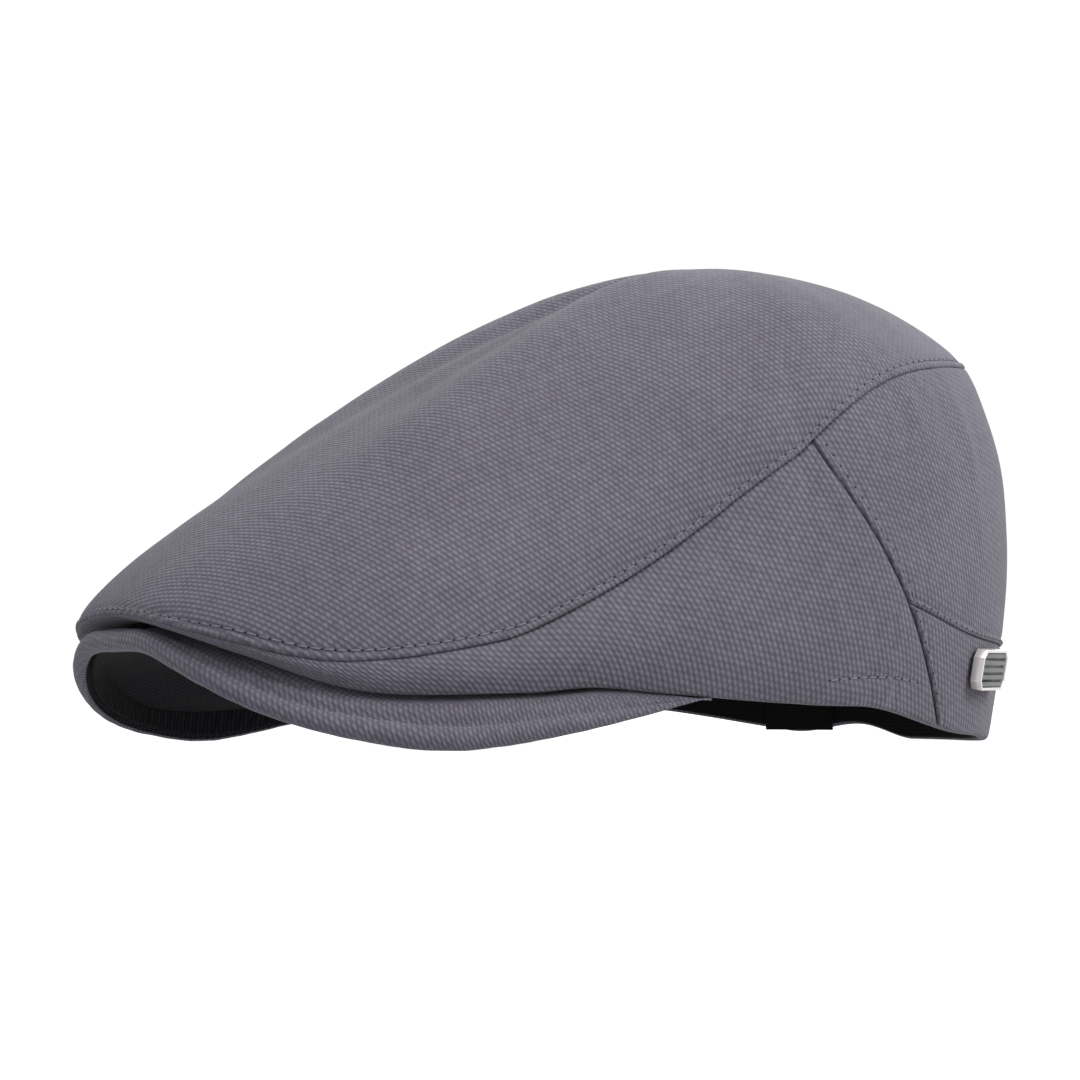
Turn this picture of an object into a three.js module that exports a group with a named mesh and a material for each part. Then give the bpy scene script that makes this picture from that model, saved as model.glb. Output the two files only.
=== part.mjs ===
import * as THREE from 'three';

// A cloth flat cap, empty and standing on its hem. Millimetres, +Z up, the peak towards -Y and the
// wearer's left towards +X. Angles go round the head: 0 at the centre front, 90 at the left side,
// 180 at the centre back and -90 at the right side.

// Cloth with its interlining and facing, the narrow gaps between sewn pieces and between the crown and the
// peak, and the facets round the cap
const WALL = 2;
const GAP = 0.3;
const SEAT_GAP = 0.4;
const SIDE_COLUMNS = 20;
const BACK_COLUMNS = 12;
const TOP_ROWS = 10;

// Small steps along the surface, for its directions: degrees round the head, and level up the crown
const TURN_STEP = 0.5;
const LEVEL_STEP = 0.02;
const LEVEL_EDGE = 0.001;

// Plan outlines, as rounded ovals about the middle of the head opening. Width is half the width, front
// and back are the reach each way, and square is how square the nose is, from 2 for a plain ellipse.
const OUTLINES = {
  opening: { width: 79, front: 95, back: 100, square: 2 },
  foot: { width: 82, front: 154, back: 103, square: 2.8 },
  seam: { width: 80.5, front: 162, back: 95, square: 2.8 },
  peak: { width: 88.4, front: 163.6, back: 103, square: 2.55 },
};
const APEX = new THREE.Vector3(0, 19.8, 133.1);

// The crown by section round the head. foot and root are heights of the wall's foot and of the cloth
// turned under to the head opening, seam is the height of the top seam, low and high are how far the
// wall bulges below and above, and rise, lean and flat shape the top panel from the seam to the apex.
const SECTIONS = [
  { at: 0, root: 40, foot: 32.9, seam: 35.1, low: 4.5, high: 0.6, rise: 13.9, lean: 3.3, flat: 0.23 },
  { at: 15, root: 38.5, foot: 30.2, seam: 33.3, low: 4.5, high: 0.6, rise: 13.9, lean: 3.3, flat: 0.23 },
  { at: 30, root: 34, foot: 23.6, seam: 28.5, low: 3.5, high: 0.8, rise: 11.7, lean: 3.3, flat: 0.38 },
  { at: 45, root: 26.5, foot: 14.7, seam: 22.8, low: 2.5, high: 1.5, rise: 14.7, lean: 3.5, flat: 0.5 },
  { at: 60, root: 20, foot: 14.4, seam: 28.1, low: 4, high: 4, rise: 16.8, lean: 2.5, flat: 0.53 },
  { at: 67, root: 19.1, foot: 15.8, seam: 36.6, low: 5.8, high: 5.8, rise: 18.4, lean: 2.7, flat: 0.57 },
  { at: 75, root: 16.4, foot: 14, seam: 49.5, low: 8, high: 8, rise: 20, lean: 3, flat: 0.62 },
  { at: 90, root: 12, foot: 11, seam: 77.4, low: 11, high: 11, rise: 20, lean: 2, flat: 0.64 },
  { at: 105, root: 10.8, foot: 10.2, seam: 95.3, low: 10, high: 13, rise: 12.5, lean: -2, flat: 0.61 },
  { at: 120, root: 8, foot: 7.8, seam: 102.3, low: 8, high: 16, rise: 8.4, lean: -5.6, flat: 0.57 },
  { at: 150, root: 1, foot: 0.6, seam: 105, low: 5, high: 18, rise: 6.9, lean: -7.4, flat: 0.59 },
  { at: 180, root: 0, foot: 0, seam: 105.4, low: 5, high: 18, rise: 6.9, lean: -7.4, flat: 0.59 },
];

// The slanting rear seam, by level up the wall, and the band seam across the back, by share of the way
// round from the rear seam to the centre back. The strap inside lifts the hem a little at the right rear,
// and the hem hangs a little lower at the left rear seam.
const REAR_SEAM = { foot: 120, drop: 42.5, ease: 15 };
const BAND_SEAM = { centre: 0.25, rise: 0.08, curve: 6 };
const BAND_ROWS = 3;
const BACK_ROWS = 5;
const HEM_PULLS = [
  { at: -158, spread: 15, lift: 4 },
  { at: 124, spread: 24, lift: -3 },
];

// The peak by section: the height of its lip, the thickness of its rolled edge, where its root lies
// between the head opening, 0, and the crown's foot, 1, and the share of its full reach past the foot. It
// ends at PEAK_END, a little past its last full column.
const PEAK_SECTIONS = [
  { at: 0, lip: 25, thick: 6, root: 0, reach: 1 },
  { at: 12, lip: 24.1, thick: 6, root: 0, reach: 1 },
  { at: 24, lip: 16.6, thick: 6, root: 0, reach: 1 },
  { at: 36, lip: 7.4, thick: 6, root: 0, reach: 1 },
  { at: 46, lip: 2.2, thick: 6, root: 0, reach: 1 },
  { at: 55, lip: 0.1, thick: 6, root: 0.05, reach: 1 },
  { at: 66, lip: 4.7, thick: 4.6, root: 0.5, reach: 0.86 },
  { at: 78, lip: 12, thick: 1, root: 0.93, reach: 0.12 },
  { at: 81, lip: 11.8, thick: 0.7, root: 0.93, reach: 0.06 },
];
const PEAK_COLUMNS = 13;
const PEAK_END = 81;
const BOARD_SHARE = 0.62;
const HEEL_SHARE = 0.25;
const ROLL_STEPS = 6;
const UNDER_COLUMNS = 11;
const UNDER_THICK = 1.2;
const UNDER_INSET = 0.16;
const UNDER_GAP = 0.7;

// The black sweatband and its size strap, and the badge: a frame and the ribbed plate that it holds
const SWEATBAND = { thick: 1.2, height: 28, lift: 0.6, columns: 60, frontHalf: 55, frontDrop: 3.7 };
const STRAP = { from: -139, to: -153, bottom: 2.3, top: 24, thick: 1.2, columns: 4 };
const BADGE = { width: 21.2, tall: 11.2, deep: 3.2, rim: 0.8, chamfer: 2.2 };
const BADGE_SEAT = { at: 132, level: 0.181, stand: 0.7 };
const BADGE_SHARES = { hole: 0.5, plate: 0.6 };
const RIBS = { count: 5, floor: 1.3, deep: 1.2, step: 0.5, slope: 0.3 };

const CLOTH = { color: 0x77747f, roughness: 0.92, metalness: 0 };
const BLACK_BAND = { color: 0x0b0b0d, roughness: 0.9, metalness: 0 };
const BADGE_METAL = { color: 0xc9c7c8, roughness: 0.22, metalness: 1 };
const BADGE_PLATE = { color: 0x6d716f, roughness: 0.45, metalness: 0.6 };

// A table column at any angle: a smooth curve through its rows, the same left and right
function valueAt(table, name, angle) {
  const last = table.length - 1;
  const turned = Math.min(Math.abs(angle), table[last].at);
  let i = 0;
  while (i < last - 1 && table[i + 1].at <= turned) {
    i += 1;
  }
  const start = table[i];
  const end = table[i + 1];
  const before = table[i - 1] ?? { at: -table[1].at, [name]: table[1][name] };
  const after = table[i + 2] ?? { at: 2 * end.at - start.at, [name]: start[name] };
  const span = end.at - start.at;
  const startSlope = (end[name] - before[name]) / (end.at - before.at) * span;
  const endSlope = (after[name] - start[name]) / (after.at - start.at) * span;
  const t = (turned - start.at) / span;
  const eased = t * t * (3 - 2 * t);
  const bend = t * (1 - t) * ((1 - t) * startSlope - t * endSlope);
  return start[name] + (end[name] - start[name]) * eased + bend;
}

// The point of a plan outline at an angle
function planPoint(outline, angle) {
  const turn = THREE.MathUtils.degToRad(angle);
  const sine = Math.sin(turn);
  const cosine = Math.cos(turn);
  const square = cosine > 0 ? outline.square : 2;
  const reach = cosine > 0 ? outline.front : outline.back;
  const size = (Math.abs(sine) ** square + Math.abs(cosine) ** square) ** (-1 / square);
  return new THREE.Vector2(outline.width * sine * size, -reach * cosine * size);
}

// The outward direction of a plan outline at an angle
function planOutward(outline, angle) {
  const along = planPoint(outline, angle + TURN_STEP).sub(planPoint(outline, angle - TURN_STEP));
  return new THREE.Vector3(along.y, -along.x, 0).normalize();
}

function raised(plan, height) {
  return new THREE.Vector3(plan.x, plan.y, height);
}

// How much higher or lower the hem hangs at an angle than its table says
function hemLift(angle) {
  return HEM_PULLS.reduce((sum, pull) => {
    const away = Math.min(1, Math.abs(angle - pull.at) / pull.spread);
    return sum + pull.lift * Math.cos(away * Math.PI / 2) ** 2;
  }, 0);
}

function footPoint(angle) {
  const height = valueAt(SECTIONS, 'foot', angle) + hemLift(angle);
  return raised(planPoint(OUTLINES.foot, angle), Math.max(0, height));
}

function rootPoint(angle) {
  const height = valueAt(SECTIONS, 'root', angle) + hemLift(angle);
  return raised(planPoint(OUTLINES.opening, angle), Math.max(0, height));
}

function seamPoint(angle) {
  return raised(planPoint(OUTLINES.seam, angle), valueAt(SECTIONS, 'seam', angle));
}

// The wall of the crown, from its foot up to the top seam
function wallCurve(angle) {
  const foot = footPoint(angle);
  const seam = seamPoint(angle);
  const outward = planOutward(OUTLINES.foot, angle);
  const third = (seam.z - foot.z) / 3;
  const low = foot.clone().addScaledVector(outward, valueAt(SECTIONS, 'low', angle));
  const high = seam.clone().addScaledVector(outward, valueAt(SECTIONS, 'high', angle));
  low.z += third;
  high.z -= third;
  return new THREE.CubicBezierCurve3(foot, low, high, seam);
}

// The top panel, from the top seam to the apex, where it is level
function topCurve(angle) {
  const seam = seamPoint(angle);
  const outward = planOutward(OUTLINES.seam, angle);
  const start = seam.clone().addScaledVector(outward, valueAt(SECTIONS, 'lean', angle));
  start.z += valueAt(SECTIONS, 'rise', angle);
  const end = APEX.clone().lerp(seam, valueAt(SECTIONS, 'flat', angle)).setZ(APEX.z);
  return new THREE.CubicBezierCurve3(seam, start, end, APEX.clone());
}

// The crown's outside at an angle and a level: -1 at the head opening, 0 at the foot, 1 at the top seam
// and 2 at the apex
function crownPoint(angle, level) {
  if (level < 0) {
    return footPoint(angle).lerp(rootPoint(angle), -level);
  }
  if (level <= 1) {
    return wallCurve(angle).getPoint(level);
  }
  return topCurve(angle).getPoint(level - 1);
}

// The crown's outward direction just below or just above a level
function crownOutward(angle, level, side) {
  const near = level + side * LEVEL_EDGE;
  const up = crownPoint(angle, near + side * LEVEL_STEP).sub(crownPoint(angle, near)).multiplyScalar(side);
  const along = crownPoint(angle + TURN_STEP, near).sub(crownPoint(angle - TURN_STEP, near));
  return along.cross(up).normalize();
}

// How far the inside lies from the outside, mitred where the cloth turns at the foot and at the top seam
function insideOffset(angle, level) {
  const below = crownOutward(angle, level, level <= -1 ? 1 : -1);
  const above = crownOutward(angle, level, level >= 2 ? -1 : 1);
  const middle = below.add(above).normalize();
  return middle.multiplyScalar(-WALL / middle.dot(above));
}

// The inside of the crown's cloth, which on the wall changes evenly from the foot to the top seam
function crownInside(angle, level) {
  const point = crownPoint(angle, level);
  if (level <= 0 || level > 1) {
    return point.add(insideOffset(angle, level));
  }
  return point.add(insideOffset(angle, 0).lerp(insideOffset(angle, 1), level));
}

// The angle of the slanting rear seam at a level of the wall
function rearSeamAngle(level) {
  const up = Math.max(0, level);
  return REAR_SEAM.foot - REAR_SEAM.drop * up + REAR_SEAM.ease * up * up;
}

function bandSeamLevel(share) {
  return BAND_SEAM.centre + BAND_SEAM.rise * (1 - share) ** BAND_SEAM.curve;
}

// The angles round the back at a level, from the left rear seam to the right one
function backAngle(column, level) {
  const share = 1 - Math.abs(column / BACK_COLUMNS - 1);
  const seam = rearSeamAngle(level);
  const angle = seam + (180 - seam) * share;
  return column <= BACK_COLUMNS ? angle : 360 - angle;
}

function signed(angle) {
  return angle > 180 ? angle - 360 : angle;
}

// A grid of points: columns along, rows up, each worked out by a function
function makeGrid(columns, rows, pointAt) {
  const grid = [];
  for (let i = 0; i < columns; i += 1) {
    grid.push(Array.from({ length: rows }, (unused, j) => pointAt(i, j)));
  }
  return grid;
}

// Pulls one edge of a grid back by half the sewn gap, so that two pieces meet without touching
function pullBack(edge, next) {
  edge.forEach((point, k) => {
    const inward = next[k].clone().sub(point).normalize();
    point.addScaledVector(inward, GAP / 2);
  });
}

function pullBackColumns(grid) {
  const last = grid.length - 1;
  pullBack(grid[0], grid[1]);
  pullBack(grid[last], grid[last - 1]);
}

function pullBackRows(grid, atStart, atEnd) {
  const last = grid[0].length - 1;
  if (atStart) {
    pullBack(grid.map((column) => column[0]), grid.map((column) => column[1]));
  }
  if (atEnd) {
    pullBack(grid.map((column) => column[last]), grid.map((column) => column[last - 1]));
  }
}

// A closed cloth wall between an outer and an inner grid. A ring closes on itself along its columns.
function wallSolid(outer, inner, ring = false) {
  const columns = outer.length;
  const rows = outer[0].length;
  const points = [...outer.flat(), ...inner.flat()];
  const faces = [];
  const at = (side, i, j) => side * columns * rows + (i % columns) * rows + j;
  const quad = (a, b, c, d) => faces.push(a, b, c, a, c, d);
  const spans = ring ? columns : columns - 1;
  for (let i = 0; i < spans; i += 1) {
    for (let j = 0; j < rows - 1; j += 1) {
      quad(at(0, i, j), at(0, i + 1, j), at(0, i + 1, j + 1), at(0, i, j + 1));
      faces.push(at(1, i, j), at(1, i + 1, j + 1), at(1, i + 1, j));
      faces.push(at(1, i, j), at(1, i, j + 1), at(1, i + 1, j + 1));
    }
    quad(at(0, i, 0), at(1, i, 0), at(1, i + 1, 0), at(0, i + 1, 0));
    quad(at(0, i, rows - 1), at(0, i + 1, rows - 1), at(1, i + 1, rows - 1), at(1, i, rows - 1));
  }
  if (!ring) {
    const end = columns - 1;
    for (let j = 0; j < rows - 1; j += 1) {
      quad(at(0, 0, j), at(0, 0, j + 1), at(1, 0, j + 1), at(1, 0, j));
      quad(at(0, end, j), at(1, end, j), at(1, end, j + 1), at(0, end, j + 1));
    }
  }
  return solidGeometry(points, faces);
}

function solidGeometry(points, faces) {
  const geometry = new THREE.BufferGeometry();
  const positions = points.flatMap((point) => [point.x, point.y, point.z]);
  geometry.setAttribute('position', new THREE.Float32BufferAttribute(positions, 3));
  geometry.setIndex(faces);
  return geometry;
}

function namedMesh(name, geometry, look) {
  const mesh = new THREE.Mesh(geometry, new THREE.MeshStandardMaterial(look));
  mesh.name = name;
  return mesh;
}

// The left or right cloth side: it turns under at the foot, and ends at the slanting rear seam
function sidePanel(name, side) {
  const levels = [-1, 0];
  for (let j = 1; j <= BAND_ROWS; j += 1) {
    levels.push(bandSeamLevel(0) * j / BAND_ROWS);
  }
  for (let j = 1; j <= BACK_ROWS; j += 1) {
    levels.push(THREE.MathUtils.lerp(bandSeamLevel(0), 1, j / BACK_ROWS));
  }
  const angleAt = (i, j) => side * rearSeamAngle(levels[j]) * i / SIDE_COLUMNS;
  const grids = [crownPoint, crownInside].map((surface) => {
    const grid = makeGrid(SIDE_COLUMNS + 1, levels.length, (i, j) => surface(angleAt(i, j), levels[j]));
    pullBackColumns(grid);
    pullBackRows(grid, false, true);
    return side > 0 ? grid : grid.reverse();
  });
  return namedMesh(name, wallSolid(...grids), CLOTH);
}

// The back panel, above the band seam, and the back band below it, which turns under at the hem
function backPiece(name, levelsAt, opensBelow) {
  const rows = levelsAt(0).length;
  const columns = 2 * BACK_COLUMNS + 1;
  const grids = [crownPoint, crownInside].map((surface) => {
    const grid = makeGrid(columns, rows, (i, j) => {
      const share = 1 - Math.abs(i / BACK_COLUMNS - 1);
      const level = levelsAt(share)[j];
      return surface(signed(backAngle(i, level)), level);
    });
    pullBackColumns(grid);
    pullBackRows(grid, !opensBelow, true);
    return grid;
  });
  return namedMesh(name, wallSolid(...grids), CLOTH);
}

function backPanelLevels(share) {
  const start = bandSeamLevel(share);
  return Array.from({ length: BACK_ROWS + 1 }, (unused, j) => THREE.MathUtils.lerp(start, 1, j / BACK_ROWS));
}

function backBandLevels(share) {
  const end = bandSeamLevel(share);
  return [-1, ...Array.from({ length: BAND_ROWS + 1 }, (unused, j) => end * j / BAND_ROWS)];
}

// The one long piece over the top, from the seam to the apex, as a ring of columns that ends in a point
function topPanel() {
  const angles = [];
  for (let i = -SIDE_COLUMNS + 1; i <= SIDE_COLUMNS; i += 1) {
    angles.push(rearSeamAngle(1) * i / SIDE_COLUMNS);
  }
  for (let i = 1; i <= 2 * BACK_COLUMNS; i += 1) {
    angles.push(signed(backAngle(i, 1)));
  }
  const grids = [crownPoint, crownInside].map((surface) => {
    const grid = makeGrid(angles.length, TOP_ROWS, (i, j) => surface(angles[i], 1 + j / TOP_ROWS));
    pullBackRows(grid, true, false);
    return grid;
  });
  const columns = angles.length;
  const points = [...grids[0].flat(), ...grids[1].flat(), APEX.clone(), APEX.clone().setZ(APEX.z - WALL)];
  const faces = [];
  const at = (side, i, j) => side * columns * TOP_ROWS + (i % columns) * TOP_ROWS + j;
  const peaks = [points.length - 2, points.length - 1];
  for (let i = 0; i < columns; i += 1) {
    for (let j = 0; j < TOP_ROWS - 1; j += 1) {
      faces.push(at(0, i, j), at(0, i + 1, j), at(0, i + 1, j + 1));
      faces.push(at(0, i, j), at(0, i + 1, j + 1), at(0, i, j + 1));
      faces.push(at(1, i, j), at(1, i + 1, j + 1), at(1, i + 1, j));
      faces.push(at(1, i, j), at(1, i, j + 1), at(1, i + 1, j + 1));
    }
    faces.push(at(0, i, TOP_ROWS - 1), at(0, i + 1, TOP_ROWS - 1), peaks[0]);
    faces.push(at(1, i, TOP_ROWS - 1), peaks[1], at(1, i + 1, TOP_ROWS - 1));
    faces.push(at(0, i, 0), at(1, i, 0), at(1, i + 1, 0));
    faces.push(at(0, i, 0), at(1, i + 1, 0), at(0, i + 1, 0));
  }
  return namedMesh('top_panel', solidGeometry(points, faces), CLOTH);
}

// The sizes of the peak at one section: its root, the crown's foot on it, and its rolled lip
function peakSection(angle) {
  const foot = footPoint(angle);
  foot.z -= SEAT_GAP;
  const opening = rootPoint(angle);
  opening.z -= SEAT_GAP;
  const root = opening.lerp(foot, valueAt(PEAK_SECTIONS, 'root', angle));
  const thick = valueAt(PEAK_SECTIONS, 'thick', angle);
  const reach = valueAt(PEAK_SECTIONS, 'reach', angle);
  const plan = planPoint(OUTLINES.foot, angle).lerp(planPoint(OUTLINES.peak, angle), reach);
  const tip = raised(plan, valueAt(PEAK_SECTIONS, 'lip', angle) + thick / 2);
  const outward = tip.clone().sub(foot).setZ(0).normalize();
  const centre = tip.clone().addScaledVector(outward, -thick / 2);
  return { root, foot, thick, outward, centre };
}

// The outline of one section through the peak: over the board to the rolled edge, round it, and back
function peakOutline(angle) {
  const { root, foot, thick, outward, centre } = peakSection(angle);
  const points = [root, foot];
  for (let k = 0; k <= ROLL_STEPS; k += 1) {
    const turn = Math.PI * (0.5 - k / ROLL_STEPS);
    const point = centre.clone().addScaledVector(outward, Math.cos(turn) * thick / 2);
    point.z += Math.sin(turn) * thick / 2;
    points.push(point);
  }
  const board = thick * BOARD_SHARE;
  const heel = centre.clone().addScaledVector(outward, -thick * HEEL_SHARE);
  heel.z += thick / 2 - board;
  const below = [heel, foot.clone(), root.clone()];
  below[1].z -= board;
  below[2].z -= board;
  return [...points, ...below];
}

// A bar of closed sections, capped at both ends
function sectionSolid(sections) {
  const count = sections[0].length;
  const points = sections.flat();
  const faces = [];
  const last = (sections.length - 1) * count;
  for (let i = 0; i < sections.length - 1; i += 1) {
    for (let k = 0; k < count; k += 1) {
      const a = i * count + k;
      const b = i * count + (k + 1) % count;
      faces.push(a, b + count, a + count, a, b, b + count);
    }
  }
  [[sections[0], 0], [sections[sections.length - 1], last]].forEach(([section, start]) => {
    const middle = section.reduce((sum, point) => sum.add(point), new THREE.Vector3()).divideScalar(count);
    points.push(middle);
    for (let k = 0; k < count; k += 1) {
      const next = start + (k + 1) % count;
      const pair = start > 0 ? [start + k, next] : [next, start + k];
      faces.push(...pair, points.length - 1);
    }
  });
  return solidGeometry(points, faces);
}

// The peak: a stiff board in cloth, bent down at the sides, with its thick rolled edge
function peak() {
  const step = REAR_SEAM.foot / SIDE_COLUMNS;
  const sections = [peakOutline(-PEAK_END)];
  for (let i = -PEAK_COLUMNS; i <= PEAK_COLUMNS; i += 1) {
    sections.push(peakOutline(i * step));
  }
  sections.push(peakOutline(PEAK_END));
  return namedMesh('peak', sectionSolid(sections), CLOTH);
}

// The cloth under the peak, set in behind the rolled edge
function peakUnder() {
  const step = REAR_SEAM.foot / SIDE_COLUMNS;
  const upper = [];
  const lower = [];
  for (let i = -UNDER_COLUMNS; i <= UNDER_COLUMNS; i += 1) {
    const outline = peakOutline(i * step);
    const [heel, foot, root] = outline.slice(-3);
    const edge = heel.clone().lerp(foot, UNDER_INSET);
    const lowered = [edge, foot, root].map((point) => point.clone().setZ(point.z - UNDER_GAP));
    upper.push(lowered);
    lower.push(lowered.map((point) => point.clone().setZ(point.z - UNDER_THICK)));
  }
  return namedMesh('peak_under', wallSolid(upper, lower), CLOTH);
}

// The plan point inside the head opening, set in by a distance
function openingInset(angle, inset) {
  const outward = planOutward(OUTLINES.opening, angle);
  return planPoint(OUTLINES.opening, angle).addScaledVector(new THREE.Vector2(outward.x, outward.y), -inset);
}

// The black sweatband, upright round the inside of the head opening, and lower where it meets the peak
function sweatband() {
  const grids = [GAP, GAP + SWEATBAND.thick].map((inset) => makeGrid(SWEATBAND.columns, 2, (i, j) => {
    const angle = i * 360 / SWEATBAND.columns - 180;
    const drop = Math.abs(angle) < SWEATBAND.frontHalf ? SWEATBAND.frontDrop : 0;
    const bottom = rootPoint(angle).z + SWEATBAND.lift - drop;
    return raised(openingInset(angle, inset), bottom + j * SWEATBAND.height);
  }));
  return namedMesh('sweatband', wallSolid(grids[0], grids[1], true), BLACK_BAND);
}

// The short strap inside the sweatband, whose end hangs just below it
function sizeStrap() {
  const start = 2 * GAP + SWEATBAND.thick;
  const grids = [start, start + STRAP.thick].map((inset) => makeGrid(STRAP.columns + 1, 2, (i, j) => {
    const angle = THREE.MathUtils.lerp(STRAP.to, STRAP.from, i / STRAP.columns);
    return raised(openingInset(angle, inset), j === 0 ? STRAP.bottom : STRAP.top);
  }));
  return namedMesh('size_strap', wallSolid(...grids), BLACK_BAND);
}

// A rectangle with its corners cut off
function chamferedShape(width, tall, chamfer) {
  const x = width / 2;
  const y = tall / 2;
  const corners = [[x - chamfer, -y], [x, chamfer - y], [x, y - chamfer], [x - chamfer, y]];
  const mirrored = corners.map(([px, py]) => [-px, -py]);
  return new THREE.Shape([...corners, ...mirrored].map(([px, py]) => new THREE.Vector2(px, py)));
}

// Stands a badge piece, drawn in X and Y with its back at Z 0, on the outside of the back band
function standOnBand(mesh, out) {
  const seat = crownPoint(BADGE_SEAT.at, BADGE_SEAT.level);
  const outward = crownOutward(BADGE_SEAT.at, BADGE_SEAT.level, 1);
  const across = new THREE.Vector3(0, 0, 1).cross(outward).normalize();
  const up = outward.clone().cross(across);
  mesh.quaternion.setFromRotationMatrix(new THREE.Matrix4().makeBasis(across, up, outward));
  mesh.position.copy(seat).addScaledVector(outward, out);
  return mesh;
}

function badgeFrame() {
  const shape = chamferedShape(BADGE.width, BADGE.tall, BADGE.chamfer);
  const hole = chamferedShape(BADGE.width - 2 * BADGE.rim, BADGE.tall - 2 * BADGE.rim,
    BADGE.chamfer * BADGE_SHARES.hole);
  shape.holes.push(hole);
  const geometry = new THREE.ExtrudeGeometry(shape, { depth: BADGE.deep, bevelEnabled: false });
  return standOnBand(namedMesh('badge_frame', geometry, BADGE_METAL), BADGE_SEAT.stand);
}

// The plate inside the frame, with its ribs in steps across
function badgeInsert() {
  const width = BADGE.width - 2 * BADGE.rim - 2 * GAP;
  const tall = BADGE.tall - 2 * BADGE.rim - 2 * GAP;
  const outline = [[0, -tall / 2]];
  for (let k = 0; k < RIBS.count; k += 1) {
    const start = tall * (k / RIBS.count - 0.5);
    const rib = tall / RIBS.count;
    outline.push([RIBS.deep, start]);
    outline.push([RIBS.deep + RIBS.step, start + rib * RIBS.slope]);
    outline.push([RIBS.deep + RIBS.step, start + rib * (1 - RIBS.slope)]);
  }
  outline.push([RIBS.deep, tall / 2], [0, tall / 2]);
  const shape = new THREE.Shape(outline.map(([depth, up]) => new THREE.Vector2(depth, up)));
  const inset = BADGE.chamfer * BADGE_SHARES.plate;
  const geometry = new THREE.ExtrudeGeometry(shape, { depth: width - inset, bevelEnabled: false });
  geometry.translate(RIBS.floor, 0, -(width - inset) / 2);
  geometry.rotateY(-Math.PI / 2);
  return standOnBand(namedMesh('badge_insert', geometry, BADGE_PLATE), BADGE_SEAT.stand);
}

const cap = new THREE.Group();
cap.add(
  topPanel(),
  sidePanel('side_panel_left', 1),
  sidePanel('side_panel_right', -1),
  backPiece('back_panel', backPanelLevels, false),
  backPiece('back_band', backBandLevels, true),
  peak(),
  peakUnder(),
  sweatband(),
  sizeStrap(),
  badgeFrame(),
  badgeInsert(),
);

// The cap stands with the middle of its box over the origin
cap.updateMatrixWorld(true);
const box = new THREE.Box3().setFromObject(cap, true);
cap.position.set(-(box.min.x + box.max.x) / 2, -(box.min.y + box.max.y) / 2, -box.min.z);
cap.updateMatrixWorld(true);

export default cap;
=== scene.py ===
import math
from bisect import bisect_right
from functools import lru_cache

import bmesh
import bpy
from mathutils import Matrix, Vector, noise
from mathutils.bvhtree import BVHTree


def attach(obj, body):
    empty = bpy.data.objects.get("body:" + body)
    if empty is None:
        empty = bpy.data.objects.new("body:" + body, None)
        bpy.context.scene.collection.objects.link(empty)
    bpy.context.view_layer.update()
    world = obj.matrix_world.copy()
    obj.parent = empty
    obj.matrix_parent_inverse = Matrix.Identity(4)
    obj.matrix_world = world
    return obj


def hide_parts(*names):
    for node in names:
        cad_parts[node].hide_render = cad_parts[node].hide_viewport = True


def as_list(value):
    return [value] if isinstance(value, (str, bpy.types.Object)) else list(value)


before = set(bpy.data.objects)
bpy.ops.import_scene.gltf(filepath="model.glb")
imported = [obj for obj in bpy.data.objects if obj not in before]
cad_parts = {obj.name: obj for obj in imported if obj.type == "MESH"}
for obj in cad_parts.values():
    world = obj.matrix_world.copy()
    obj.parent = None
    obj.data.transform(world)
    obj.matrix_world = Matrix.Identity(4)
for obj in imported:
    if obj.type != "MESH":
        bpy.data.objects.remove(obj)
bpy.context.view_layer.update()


# The top panel: one long piece of grey violet cotton from the nose over the head to the back. Its edge
# laps over the sides and is topstitched just above the seam. The tables are the cap's pattern, in
# millimetres, and angles go round the head from 0 at the centre front to 90 at the wearer's left.
MM = 0.001
MIDDLE = Vector((0, 28.04, 0))
APEX = Vector((0, 19.8, 133.1))
OUTLINES = {
    "opening": {"width": 79, "front": 95, "back": 100, "square": 2},
    "foot": {"width": 82, "front": 154, "back": 103, "square": 2.8},
    "seam": {"width": 80.5, "front": 162, "back": 95, "square": 2.8},
    "peak": {"width": 88.4, "front": 163.6, "back": 103, "square": 2.55},
}
SECTION_COLUMNS = ("at", "root", "foot", "seam", "low", "high", "rise", "lean", "flat")
SECTIONS = [dict(zip(SECTION_COLUMNS, row)) for row in (
    (0, 40, 32.9, 35.1, 4.5, 0.6, 13.9, 3.3, 0.23),
    (15, 38.5, 30.2, 33.3, 4.5, 0.6, 13.9, 3.3, 0.23),
    (30, 34, 23.6, 28.5, 3.5, 0.8, 11.7, 3.3, 0.38),
    (45, 26.5, 14.7, 22.8, 2.5, 1.5, 14.7, 3.5, 0.5),
    (60, 20, 14.4, 28.1, 4, 4, 16.8, 2.5, 0.53),
    (67, 19.1, 15.8, 36.6, 5.8, 5.8, 18.4, 2.7, 0.57),
    (75, 16.4, 14, 49.5, 8, 8, 20, 3, 0.62),
    (90, 12, 11, 77.4, 11, 11, 20, 2, 0.64),
    (105, 10.8, 10.2, 95.3, 10, 13, 12.5, -2, 0.61),
    (120, 8, 7.8, 102.3, 8, 16, 8.4, -5.6, 0.57),
    (150, 1, 0.6, 105, 5, 18, 6.9, -7.4, 0.59),
    (180, 0, 0, 105.4, 5, 18, 6.9, -7.4, 0.59),
)]
HEM_PULLS = ({"at": -158, "spread": 15, "lift": 4}, {"at": 124, "spread": 24, "lift": -3})
HEM_ROUND = 1.8
CLOTH_THICK = 1.4 * MM
MERGED = 0.02 * MM


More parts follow.
